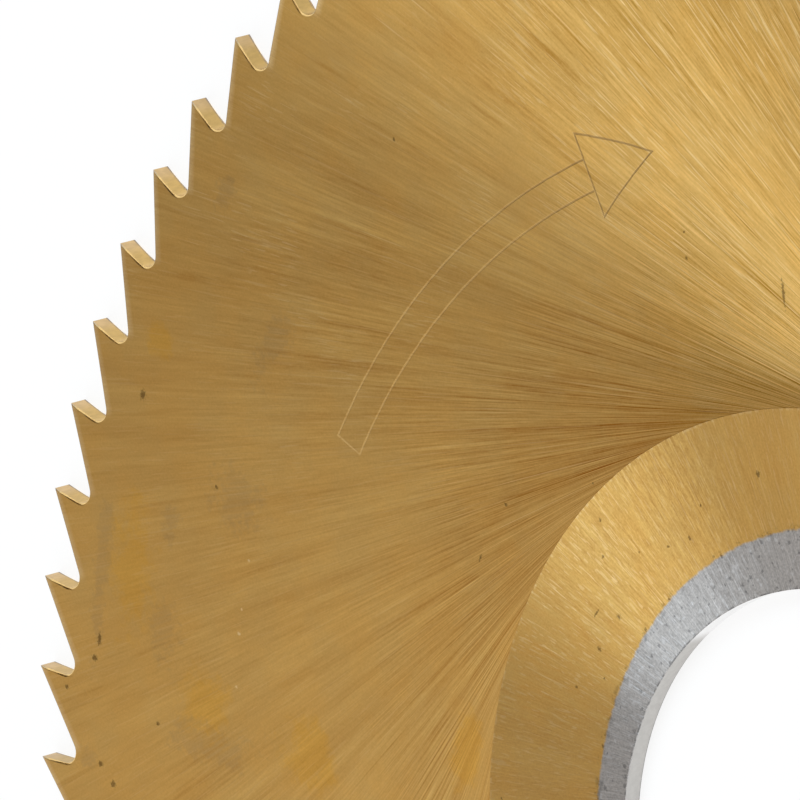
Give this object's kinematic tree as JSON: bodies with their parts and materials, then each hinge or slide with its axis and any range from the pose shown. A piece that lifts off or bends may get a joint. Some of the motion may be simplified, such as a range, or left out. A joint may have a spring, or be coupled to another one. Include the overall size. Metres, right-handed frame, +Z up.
{
  "type": "circular saw blade",
  "caption": "Thin round slitting saw blade for cutting metal, with fine pointed teeth round its rim, hollow-ground sides, a flat hub land and a plain centre bore.",
  "frame": {"origin": "middle of the bore, on the lower side of the blade, which lies flat", "axes": "+Z up along the blade's axis, +X through the point of one tooth; seen from +Z the teeth cut clockwise"},
  "size_m": [0.1, 0.1, 0.001],
  "materials": {
    "coated_steel": "ground high-speed steel under a thin gold-coloured nitride coating, bare grey steel round the bore"
  },
  "bodies": {
    "root": {"saw_blade": "coated_steel"}
  },
  "joints": []
}
